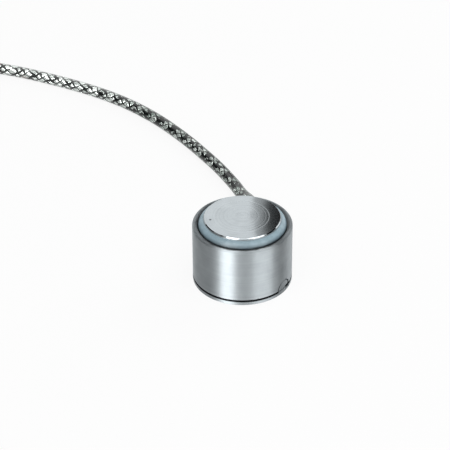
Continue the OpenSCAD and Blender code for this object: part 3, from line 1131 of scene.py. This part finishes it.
@dataclass
class Body:
    """The steel body. Its steel stays as packed, and the seal bead is cast here."""

    bead_floor: float = 11.3
    bead_inner_top: float = 14.08
    bead_outer_top: float = 12.4
    bead_curve: float = 1.9
    rim_gap: float = 0.06
    edge_droop: float = 0.12
    uneven: float = 0.1
    still_inside: float = 0.1
    still_outside: float = 0.12
    wave_size: float = 1.6
    face_steps: int = 12
    segments: int = 200

    def face(self) -> list[tuple[float, float]]:
        """Gives the bead's upper face, from the button down to the rim, in radius and height.

        Returns:
            The face's points.
        """
        ax, az = BUTTON_RADIUS, self.bead_inner_top
        bx, bz = RIM_RADIUS - self.rim_gap, self.bead_outer_top
        chord = math.hypot(bx - ax, bz - az)
        reach = math.sqrt(self.bead_curve ** 2 - chord ** 2 / 4)
        cx = (ax + bx) / 2 + (bz - az) / chord * reach
        cz = (az + bz) / 2 - (bx - ax) / chord * reach
        start, end = math.atan2(az - cz, ax - cx), math.atan2(bz - cz, bx - cx)
        points = []
        for k in range(self.face_steps + 1):
            angle = start + (end - start) * k / self.face_steps
            points.append(
                (cx + self.bead_curve * math.cos(angle), cz + self.bead_curve * math.sin(angle))
            )
        return points

    def build_bead(self) -> Piece:
        """Turns the seal bead and makes its face slightly uneven, as sealant is.

        Returns:
            The bead.
        """
        outline = [
            (BUTTON_RADIUS, self.bead_floor),
            *self.face(),
            (RIM_RADIUS - self.rim_gap * 0.5, self.bead_outer_top - self.edge_droop),
            (RIM_RADIUS, self.bead_outer_top - 2 * self.edge_droop),
            (RIM_RADIUS, self.bead_floor),
        ]
        bead = Shop.lathe("seal_bead", outline, self.segments)
        top = bead.vertex_groups.new(name="face")
        low = (self.bead_outer_top - self.edge_droop) * MM
        inner, outer = BUTTON_RADIUS + self.still_inside, RIM_RADIUS - self.still_outside
        moved = [
            v.index
            for v in bead.data.vertices
            if v.co.z > low and inner * MM < math.hypot(v.co.x, v.co.y) < outer * MM
        ]
        top.add(moved, 1.0, "REPLACE")
        waves = bpy.data.textures.new("bead_waves", "CLOUDS")
        waves.noise_scale = self.wave_size * MM
        waves.noise_depth = 2
        Shop.apply(
            bead, "DISPLACE", texture=waves, strength=self.uneven * MM, mid_level=0.55,
            vertex_group="face", direction="NORMAL",
        )
        Shop.smooth(bead, 60)
        return bead

    def dress(self) -> None:
        """Finishes the steel pieces and the bead."""
        Shop.dress(TurnedSteel("turned_steel"), "spring_element", "casing", "seal_washer")
        Shop.dress(
            Moulded("dark_sealant", colour=srgb(20, 21, 23), worn=srgb(40, 42, 44), roughness=0.6),
            "seam_sealant",
        )
        Shop.add_piece(self.build_bead(), SealRubber("seal_silicone"), "seal_rubber", "top_seal")


@dataclass
class Inside:
    """What is sealed in the chamber: gauges, bridge board, resistors, joints and wires."""

    sides: tuple[str, ...] = ("right", "rear", "left", "front")
    chip_turns: dict[str, float] = field(
        default_factory=lambda: {
            "zero_resistor": 205, "span_resistor": 235, "temperature_resistor": 315
        }
    )

    def dress(self) -> None:
        """Finishes each inner node."""
        Shop.dress(GaugeFoil("gauge_foil"), *[f"strain_gauge_{side}" for side in self.sides])
        enamel = SoftMetal("enamelled_copper", srgb(150, 70, 40), srgb(110, 48, 28), 0.25,
                           coat=0.8)
        Shop.dress(enamel, *[f"gauge_wires_{side}" for side in self.sides])
        Shop.dress(CircuitBoard("circuit_board"), "bridge_board")
        for name, turn in self.chip_turns.items():
            Shop.dress(ChipBody(f"chip_{name}", turn=turn), name)
        Shop.dress(SoftMetal("solder"), "solder_joints")
        brass = SoftMetal("crimped_brass", srgb(196, 164, 92), srgb(156, 126, 66), 0.3)
        Shop.dress(brass, "crimp_ferrule")


class WireColour(Enum):
    """The four insulated wires: name, colour, and colour where it is scuffed."""

    RED = ("red", srgb(176, 30, 28), srgb(196, 62, 56))
    BLACK = ("black", srgb(28, 28, 30), srgb(54, 54, 56))
    GREEN = ("green", srgb(30, 112, 58), srgb(62, 136, 84))
    WHITE = ("white", srgb(222, 221, 214), srgb(198, 196, 186))

    @property
    def title(self) -> str:
        """Gives the colour's name as the nodes have it."""
        return self.value[0]

    def finish(self) -> Finish:
        """Gives the insulation's finish."""
        name, colour, worn = self.value
        return Moulded(f"insulation_{name}", colour, worn, 0.34, 5, 0.006)


@dataclass
class CableExit:
    """Where the cable leaves the casing: the steel tube and the tapered rubber strain relief."""

    height: float = 5.0
    turn: float = 83.0
    start: float = 10.15
    end: float = 15.5
    collar_end: float = 12.4
    collar_radius: float = 2.7
    tip_radius: float = 1.8
    bore: float = 1.33
    tube_radius: float = 2.12
    tube_end: float = 12.22
    ribs: int = 3
    rib_gap: float = 0.35
    groove: float = 0.34
    soft: float = 0.18
    shoulder: float = 0.15
    segments: int = 72
    rib_profile: tuple[tuple[float, float], ...] = (
        (0.06, 0.6), (0.16, 1), (0.30, 1), (0.40, 0.6), (0.50, 0.05), (0.88, 0.05)
    )

    def outline(self) -> list[tuple[float, float]]:
        """Gives the boot's closed outline: the collar, the ribbed taper, the tip and the bore.

        Returns:
            Radius and place along the exit, point by point.
        """
        points = [
            (self.tube_radius, self.start),
            (self.collar_radius - self.soft, self.start),
            (self.collar_radius, self.start + self.soft),
            (self.collar_radius, self.collar_end - self.soft),
            (self.collar_radius - self.soft * 0.6, self.collar_end),
        ]
        pitch = (self.end - self.rib_gap - self.collar_end) / self.ribs
        top = self.collar_radius - self.shoulder

        def surface(at: float) -> float:
            """Gives the taper's radius at a place along the exit."""
            share = (at - self.collar_end) / (self.end - self.collar_end)
            return top + (self.tip_radius - top) * share

        for rib in range(self.ribs):
            for offset, depth in self.rib_profile:
                place = self.collar_end + (rib + offset) * pitch
                points.append((surface(place) - self.groove * depth, place))
        points += [
            (surface(self.end - 0.2), self.end - 0.22),
            (self.tip_radius - 0.1, self.end - 0.06),
            (self.tip_radius - 0.24, self.end),
            (self.bore, self.end),
            (self.bore, self.tube_end),
            (self.tube_radius, self.tube_end),
        ]
        return points

    def frame(self) -> Matrix:
        """Gives the exit's frame, with Z along the cable.

        Returns:
            The frame, in metres.
        """
        return (
            Matrix.Translation((0, 0, self.height * MM))
            @ Matrix.Rotation(math.radians(self.turn), 4, "Z")
            @ Matrix.Rotation(math.pi / 2, 4, "Y")
        )

    def build(self) -> Piece:
        """Turns the boot and lays it along the exit.

        Returns:
            The boot.
        """
        boot = Shop.lathe("strain_relief_boot", self.outline(), self.segments)
        Shop.settle(boot, self.frame())
        Shop.smooth(boot, 34)
        return boot

    def dress(self) -> Piece:
        """Finishes the tube and the boot.

        Returns:
            The boot.
        """
        Shop.dress(DrawnSteel("drawn_steel"), "entry_tube")
        rubber = Moulded("black_rubber", srgb(30, 30, 31), srgb(52, 52, 53), 0.55, 9, 0.015)
        return Shop.add_piece(self.build(), rubber, "black_rubber", "strain_relief")


@dataclass
class Cable:
    """The braided cable: along the table from the exit, then wound into its storage coil."""

    diameter: float = 2.6
    exit_length: float = 15.5
    straight: float = 2.4
    entry: tuple[float, float, float] = (13.4, 11.0, 5.5)
    columns: int = 4
    rows: int = 4
    lift: float = 0.6
    nest: float = 0.87
    crossing: tuple[float, float] = (-32.0, 25.0)
    crossing_rise: float = 0.36
    climb: tuple[float, float] = (48.0, 96.0)
    store_from_end: float = 152.0
    coil_start: float = 90.0
    point_turn: float = 15.0
    step: float = 1.15
    sides: int = 20
    sweep: Optional[Sweep] = None
    route: tuple[tuple[float, float, float], ...] = (
        (2.2, 20.4, 4.0), (1.8, 22.8, 3.1), (1.1, 25.2, 2.2), (0.1, 27.8, 1.6),
        (-1.6, 32.2, 1.3), (-4.6, 38.2, 1.3), (-8.0, 43.9, 1.3), (-11.6, 49.5, 1.3),
        (-16.2, 55.8, 1.3), (-20.5, 60.8, 1.3), (-25.5, 65.6, 1.3), (-31.0, 69.8, 1.3),
        (-37.0, 73.5, 1.3), (-43.5, 76.9, 1.3), (-50.0, 79.9, 1.3), (-56.5, 82.3, 1.3),
        (-61.5, 83.7, 1.4), (-66.2, 84.6, 1.7),
    )

    def exit_point(self) -> Vector:
        """Gives the point where the cable leaves its strain relief."""
        lift = Vector((0, 0, CableExit.height))
        return bearing_vector(CableExit.turn) * self.exit_length + lift

    def slots(self) -> list[tuple[float, float]]:
        """Gives radius and height of each turn, in the order in which they are wound.

        Returns:
            Radius and height for each turn.
        """
        turns = []
        for row in range(self.rows):
            inward = row % 2 == 0
            shift = self.diameter / 4 if inward else -self.diameter / 4
            height = self.lift + self.diameter * (0.5 + row * self.nest)
            for column in range(self.columns)[:: -1 if inward else 1]:
                out = (column - (self.columns - 1) / 2) * self.diameter
                turns.append((COIL_MEAN + out + shift, height))
        return turns

    def coil_points(self) -> list[Vector]:
        """Gives the coil's points: whole turns that change place in one sector only.

        Returns:
            The points, in millimetres.
        """
        slots = self.slots()
        whole = 360.0 * (len(slots) - 1)
        last = whole + self.store_from_end
        climb_from, climb_to = (angle + whole for angle in self.climb)
        steps = round((last - self.coil_start) / self.point_turn)
        points = []
        for k in range(steps + 1):
            angle = self.coil_start + (last - self.coil_start) * k / steps
            turn = math.floor((angle - self.crossing[0]) / 360)
            share = ramped(angle - 360 * turn, *self.crossing)
            before, after = slots[max(turn - 1, 0)], slots[min(max(turn, 0), len(slots) - 1)]
            radius = before[0] + (after[0] - before[0]) * eased(share)
            height = before[1] + (after[1] - before[1]) * eased(share)
            layer = (height - slots[0][1]) / (self.diameter * self.nest)
            height += math.sin(math.pi * share) ** 2 * self.crossing_rise * layer
            up = eased(ramped(angle, climb_from, climb_to))
            radius += (COIL_MEAN - radius) * up
            height += (STORE_HEIGHT - height) * up
            points.append(Vector((*COIL_MIDDLE, height)) + bearing_vector(angle) * radius)
        return points

    def points(self) -> list[Vector]:
        """Gives all points of the cable's route, in millimetres.

        Returns:
            The points from the exit to the coil's end.
        """
        out, coil = self.exit_point(), self.coil_points()
        entry = [coil[0] + Vector((ahead, 0, 0)) for ahead in self.entry]
        past = out + bearing_vector(CableExit.turn) * self.straight
        return [out, past, *[Vector(point) for point in self.route], *entry, *coil]

    def build(self) -> Piece:
        """Sweeps the cable and keeps its line.

        Returns:
            The cable.
        """
        line = smooth_line(self.points(), self.step)
        self.sweep = Sweep(line, lambda share: self.diameter / 2, self.sides)
        return self.sweep.build("braided_cable")

    def dress(self) -> Piece:
        """Finishes the cable and its inner end.

        Returns:
            The cable.
        """
        braid = Braid("braid_in_clear_jacket")
        end = Moulded("clear_jacket_end", srgb(92, 100, 94), srgb(132, 140, 132), 0.3, 3, 0.02)
        Shop.dress(end, "cable_inner_end")
        return Shop.add_piece(self.build(), braid, "cable_braid", "cable", "cable_coil")

    def declare(self) -> None:
        """Logs the cable's length, once built.
        """
        length = self.sweep.lengths()[-1]
        self.exit_point() * MM
        [point * MM for point in self.sweep.line]
        log.info("cable: %.0f mm long", length)


@dataclass
class CableEnd:
    """The cable's free end on the coil: heat-shrink sleeve, wires, screen pigtail, tinned tips."""

    sleeve_from: float = 150.0
    sleeve_length: float = 10.0
    sleeve_radius: float = 1.4
    sleeve_points: int = 8
    sleeve_rise: float = 0.12
    sleeve_drop: float = 0.3
    drawn_in: float = 0.28
    pressed: float = 0.14
    # Rise, place and width of two swellings of the sleeve: its lip, and over the cable's split
    swells: tuple[tuple[float, float, float], ...] = ((0.07, 0.02, 0.02), (0.08, 0.62, 0.16))
    tail_length: float = 16.0
    tip_length: float = 4.0
    rest_z: float = 10.37
    pitch: float = 0.78
    wire_diameter: float = 0.7
    tip_diameter: float = 0.45
    tip_inside: float = 0.6
    tip_droop: float = 0.06
    bunch: float = 0.42

    def at(self, along: float, aside: float, height: float) -> Vector:
        """Gives a place on the coil.

        Args:
            along: Length from the sleeve's start, on the mean turn.
            aside: Distance outwards from the mean turn.
            height: Height above the table.

        Returns:
            The place, in millimetres.
        """
        angle = self.sleeve_from + math.degrees(along / COIL_MEAN)
        return Vector((*COIL_MIDDLE, height)) + bearing_vector(angle) * (COIL_MEAN + aside)

    def build_sleeve(self) -> Piece:
        """Sweeps the sleeve: snug on the cable, wider over the split, drawn in at its end.

        Returns:
            The sleeve.
        """
        places = []
        for k in range(self.sleeve_points + 1):
            share = k / self.sleeve_points
            height = STORE_HEIGHT + self.sleeve_rise - self.sleeve_drop * share ** 3
            places.append(self.at(self.sleeve_length * share, 0, height))
        line = smooth_line(places, 0.25)

        def swollen(share: float) -> float:
            """Gives how far the sleeve swells at a place along it."""
            return sum(r * math.exp(-((share - at) / w) ** 2) for r, at, w in self.swells)

        def radius(share: float) -> float:
            """Gives the sleeve's radius, with its drawn-in end."""
            drawn = self.drawn_in * ramped(share, 0.8, 1) ** 2
            return self.sleeve_radius + swollen(share) - drawn

        def flat(share: float) -> float:
            """Gives how far the sleeve's end is pressed flat."""
            return 1 - self.pressed * ramped(share, 0.7, 1)

        return Sweep(line, radius, 28, flat).build("heat_shrink_sleeve")

    def tail_line(self, order: int, drift: float) -> list[Vector]:
        """Gives the line of one wire, from inside the sleeve to its cut end.

        Args:
            order: Its place beside the others, -2 to 2.
            drift: How far it strays at its end.

        Returns:
            Points in millimetres.
        """
        start = self.sleeve_length
        high = STORE_HEIGHT - 0.1 + (0.25 if order % 2 else -0.2)
        places = [
            (start - 1.0, order * self.bunch, high),
            (start + 0.5, order * self.bunch * 1.05, high - 0.05),
            (start + 2.2, order * self.pitch * 0.75, self.rest_z + 0.35),
            (start + 4.2, order * self.pitch, self.rest_z + 0.03),
            (start + 8.0, order * (self.pitch + 0.02) + drift * 0.2, self.rest_z),
            (start + 12.0, order * (self.pitch + 0.04) + drift * 0.5, self.rest_z),
            (start + self.tail_length, order * (self.pitch + 0.05) + drift, self.rest_z),
        ]
        return smooth_line([self.at(*place) for place in places], 0.4)

    def tip_line(self, tail: Sequence[Vector]) -> list[Vector]:
        """Carries a wire's line straight on, for its tinned tip.

        Args:
            tail: The wire's line.

        Returns:
            The tip's line.
        """
        heading = (tail[-1] - tail[-3]).normalized()
        start = tail[-1] - heading * self.tip_inside
        step = heading + Vector((0, 0, -self.tip_droop / self.tip_length))
        places = (0, 0.6, 1.2, 2.0, 2.8, 3.6, self.tip_length, self.tip_length + 0.55)
        return [start + step * place for place in places]

    def dress(self) -> list[Piece]:
        """Builds and finishes all pieces of the end.

        Returns:
            The pieces.
        """
        shrink = Moulded("heat_shrink", srgb(26, 26, 28), srgb(48, 48, 50), 0.42, 6, 0.02)
        pieces = [Shop.add_piece(self.build_sleeve(), shrink, "heat_shrink", "end_sleeve")]
        tips: list[Piece] = []

        def taper(share: float) -> float:
            """Gives a tip's radius, rounded at its end."""
            return self.tip_diameter / 2 * (1 - 0.35 * ramped(share, 0.9, 1) ** 2)

        for colour, order, drift in (
            (WireColour.RED, -2, -0.10), (WireColour.BLACK, -1, 0.06), (None, 0, 0.02),
            (WireColour.GREEN, 1, 0.10), (WireColour.WHITE, 2, 0.22),
        ):
            line = self.tail_line(order, drift)
            radius = self.wire_diameter / 2
            if colour:
                name, node = f"wire_end_{colour.title}", f"tail_{colour.title}"
                finish, slot = colour.finish(), f"wire_{colour.title}"
            else:
                name, node, slot = "screen_pigtail_braid", "screen_pigtail", "pigtail_braid"
                finish = Braid("bare_braid", carriers=4, cell=0.9, strands=3, jacket=0.0)
                radius *= 0.96
            tail = Sweep(line, lambda share, r=radius: r, 14).build(name)
            pieces.append(Shop.add_piece(tail, finish, slot, node))
            tips.append(Sweep(self.tip_line(line), taper, 12).build(f"tip_{order + 2}"))
        joined = Shop.join("tinned_wire_tips", *tips)
        solder = SoftMetal("tinned_ends", srgb(196, 198, 198), srgb(150, 153, 155), 0.3, 3.0)
        pieces.append(Shop.add_piece(joined, solder, "solder", "tinned_tips"))
        return pieces


@dataclass
class CoilTies:
    """Two nylon ties that hold the coil, each with its head on the coil's outer side."""

    turns: dict[str, float] = field(
        default_factory=lambda: {"coil_tie_right": 40.0, "coil_tie_front": 300.0}
    )
    inner: tuple[float, float] = (8.35, 0.5)
    outer: tuple[float, float] = (20.25, 10.086)
    thickness: float = 0.5
    width: float = 2.2
    corner: float = 1.3
    head: tuple[float, float, float] = (2.0, 3.4, 3.2)
    head_z: float = 5.6
    head_overlap: float = 0.25
    pocket_wall: float = 0.42
    pocket_depth: float = 0.7
    tail_gap_shade: float = 0.08
    tail_length: float = 1.6
    under_wall: float = 0.4
    under_depth: float = 0.3
    strap_edge: float = 0.09
    head_edge: float = 0.14

    def build_strap(self, name: str) -> Piece:
        """Models the strap: a rounded frame cut from a plate, then drawn out to its width.

        Args:
            name: The piece's name.

        Returns:
            The strap, across the coil's +X side.
        """
        t = self.thickness
        x0, z0 = self.inner[0] - t, self.inner[1] - t
        x1, z1 = self.outer[0] + t, self.outer[1] + t
        strap = Shop.start(name, bpy.ops.mesh.primitive_plane_add, size=1)
        middle = Vector((x0 + x1, self.width, z0 + z1)) / 2
        size = Matrix.Diagonal(((x1 - x0) * MM, (z1 - z0) * MM, 1, 1))
        upright = Matrix.Rotation(math.pi / 2, 4, "X")
        Shop.settle(strap, Matrix.Translation(middle * MM) @ upright @ size)
        Shop.edit(strap)
        bpy.ops.mesh.bevel(
            offset=(self.corner + t) * MM, segments=8, affect="VERTICES", offset_type="OFFSET"
        )
        Shop.edit(strap, "FACE")
        bpy.ops.mesh.inset(thickness=t * MM)
        bpy.ops.mesh.delete(type="FACE")
        Shop.edit(strap, "FACE")
        Shop.extrude(y=-self.width)
        Shop.tidy_normals(strap)
        Shop.round_edges(strap, self.strap_edge, 2, 50)
        return strap

    def build_head(self) -> Piece:
        """Models the head: a block with a pocket for the strap, and the strap's cut tail in it.

        Returns:
            The head, beside the coil and not yet turned.
        """
        depth, width, height = self.head
        x = self.outer[0] + self.thickness + depth / 2 - self.head_overlap
        head = Shop.start("tie_head", bpy.ops.mesh.primitive_cube_add, size=1)
        size = Matrix.Diagonal((depth * MM, width * MM, height * MM, 1))
        Shop.settle(head, Matrix.Translation((x * MM, 0, self.head_z * MM)) @ size)
        Shop.pick_faces(head, lambda face: face.normal.z > 0.9)
        bpy.ops.mesh.inset(thickness=self.pocket_wall * MM)
        Shop.extrude(z=-self.pocket_depth)
        bpy.ops.mesh.inset(thickness=self.tail_gap_shade * MM)
        Shop.extrude(z=self.pocket_depth + self.tail_length)
        Shop.pick_faces(head, lambda face: face.normal.z < -0.9)
        bpy.ops.mesh.inset(thickness=self.under_wall * MM)
        Shop.extrude(z=self.under_depth)
        Shop.round_edges(head, self.head_edge, 3, 40)
        return head

    def dress(self) -> list[Piece]:
        """Builds, places and finishes both ties.

        Returns:
            The ties.
        """
        pieces = []
        middle = Matrix.Translation(Vector((*COIL_MIDDLE, 0)) * MM)
        for node, turn in self.turns.items():
            name = f"nylon_{node}"
            tie = Shop.join(name, self.build_strap(name), self.build_head())
            Shop.settle(tie, middle @ Matrix.Rotation(math.radians(turn), 4, "Z"))
            Shop.smooth(tie, 35)
            pieces.append(Shop.add_piece(tie, TieNylon("tie_nylon"), "tie_plastic", node))
        return pieces


# The studio


@dataclass
class Panel:
    """A soft light panel, in metres, placed by its bearing from the front and height angle."""

    name: str
    bearing: float
    elevation: float
    width: float
    height: float
    radiance: float
    distance: float = 0.6
    aim_height: float = 0.01
    roll: float = 0.0
    lights_all: bool = False

    def light(self) -> None:
        """Hangs the panel as an area light."""
        lamp = bpy.data.lights.new(self.name, "AREA")
        lamp.shape = "RECTANGLE"
        lamp.size, lamp.size_y = self.width, self.height
        lamp.energy = self.radiance * math.pi * self.width * self.height
        piece = Shop.link(self.name, lamp)
        piece.matrix_world = (
            Matrix.Translation((0, 0, self.aim_height))
            @ facing(self.bearing, self.elevation, self.roll)
            @ Matrix.Translation((0, 0, self.distance))
        )
        piece.visible_diffuse = self.lights_all


@dataclass
class DarkWall:
    """A curved black wall from one bearing to another, which only reflections see."""

    name: str
    first: float
    last: float
    low: float = -0.05
    high: float = 1.4
    radius: float = 0.95
    segments: int = 72
    tone: float = 0.01

    def open_at(self, face: Face) -> bool:
        """Tells whether a face stands outside the wall's two bearings."""
        bearing = math.degrees(math.atan2(face.center.x, -face.center.y)) % 360
        return not self.first < bearing < self.last

    def build(self) -> None:
        """Rolls the wall and cuts its open side away."""
        wall = Shop.start(
            self.name, bpy.ops.mesh.primitive_cylinder_add, vertices=self.segments,
            radius=self.radius, depth=self.high - self.low, end_fill_type="NOTHING",
            location=(0, 0, (self.high + self.low) / 2),
        )
        Shop.pick_faces(wall, self.open_at)
        bpy.ops.mesh.delete(type="FACE")
        Shop.clear()
        bench = ShaderBench.start(self.name)
        bench.set(Base_Color=(self.tone,) * 3, Roughness=1.0, Specular_IOR_Level=0.0)
        wall.data.materials.append(bench.material)
        wall.visible_camera = wall.visible_diffuse = False
        wall.visible_shadow = wall.visible_transmission = False


@dataclass
class Studio:
    """The photograph's camera, the pale floor, the soft lights and the flags."""

    elevation: float = 34.44
    roll: float = -0.32
    focal_pixels: float = 1977.1
    picture_pixels: float = 450
    sensor: float = 36.0
    camera_place: tuple[float, float, float] = (-3.45, -324.03, 234.73)
    floor_size: float = 6.0
    floor_tone: float = 0.93
    floor_glow: float = 0.88
    world_fill: float = 0.55

    def set_camera(self) -> None:
        """Places the camera at the photograph's angle."""
        data = bpy.data.cameras.new("camera")
        data.sensor_width = self.sensor
        data.sensor_fit = "HORIZONTAL"
        data.lens = self.focal_pixels * self.sensor / self.picture_pixels
        data.clip_start, data.clip_end = 0.01, 50
        camera = Shop.link("camera", data)
        place = Matrix.Translation(Vector(self.camera_place) * MM)
        camera.matrix_world = place @ facing(0, self.elevation, self.roll)
        bpy.context.scene.camera = camera

    def seen(self, bench: ShaderBench) -> Signal:
        """Gives 1 for what the camera, a mirror or glass sees, and 0 for other rays.

        Args:
            bench: The nodes of a world or a material.

        Returns:
            The share.
        """
        camera, glossy, through = (
            bench.add("ShaderNodeLightPath", output=f"Is {kind} Ray")
            for kind in ("Camera", "Glossy", "Transmission")
        )
        return camera.larger(glossy).larger(through)

    def lay_floor(self) -> None:
        """Lays the pale floor, which looks white and keeps the shadow."""
        floor = Shop.start("floor", bpy.ops.mesh.primitive_plane_add, size=self.floor_size)
        bench = ShaderBench.start("floor")
        bench.set(Base_Color=(self.floor_tone,) * 3, Roughness=0.9, Specular_IOR_Level=0.0)
        glow = bench.add("ShaderNodeEmission", None, {"Color": WHITE, "Strength": 1.0})
        lit = Signal(bench, bench.shader.outputs[0])
        share = self.seen(bench) * self.floor_glow
        both = bench.add("ShaderNodeMixShader", None, {0: share, 1: lit, 2: glow})
        bench.feed(bench.output.inputs[0], both)
        floor.data.materials.append(bench.material)

    def set_world(self) -> None:
        """Makes the surroundings white to the eye and a softer fill to the surfaces."""
        world = bpy.data.worlds.new("studio")
        world.use_nodes = True
        bench = ShaderBench(world.node_tree)
        background = bench.tree.nodes["Background"].inputs
        strength = self.seen(bench) * (1 - self.world_fill) + self.world_fill
        bench.feed(background["Strength"], strength)
        bench.feed(background["Color"], WHITE)
        bpy.context.scene.world = world

    def build(self) -> None:
        """Sets up camera, floor, world, lights and flags."""
        self.set_camera()
        self.lay_floor()
        self.set_world()
        # Name, bearing, elevation, width, height and radiance
        for panel in (
            Panel("key_strip", -34, 28, 0.31, 0.62, 8.4),
            Panel("side_band", 45, 28, 0.46, 0.62, 3.1),
            Panel("edge_band", 128, 26, 0.35, 0.40, 2.0, lights_all=True),
            Panel("left_fill", 255, 48, 0.50, 0.30, 0.45),
            Panel("overhead", 10, 64, 0.90, 0.50, 1.15, lights_all=True),
            Panel("back_band", 201.5, 34, 0.449, 0.449, 0.88, roll=-10),
            Panel("back_fade", 199.4, 34, 0.449, 0.449, 0.42, roll=-10),
            Panel("back_edge", 198.7, 34, 0.449, 0.449, 0.30, roll=-8),
        ):
            panel.light()
        # Name, first and last bearing
        for wall in (
            DarkWall("dark_wall_right", 80, 135),
            DarkWall("dark_wall_back", 135, 235, low=0.33),
            DarkWall("dark_wall_left", 235, 295),
        ):
            wall.build()
        bpy.context.scene.view_settings.view_transform = "Standard"


def main() -> None:
    """Builds the scene in order and reports each piece."""
    logging.basicConfig(level=logging.INFO, format="%(name)s: %(message)s")
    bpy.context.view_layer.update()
    cable = Cable()
    cord = cable.dress()
    on_it = [*CableEnd().dress(), *CoilTies().dress(), CableExit().dress()]
    Body().dress()
    Inside().dress()
    for colour in WireColour:
        Shop.dress(colour.finish(), f"wire_{colour.title}")
    cable.declare()
    Studio().build()
    for piece in (cord, *on_it):
        log.info("%s: %d faces", piece.name, len(piece.data.polygons))


if __name__ == "__main__":
    main()
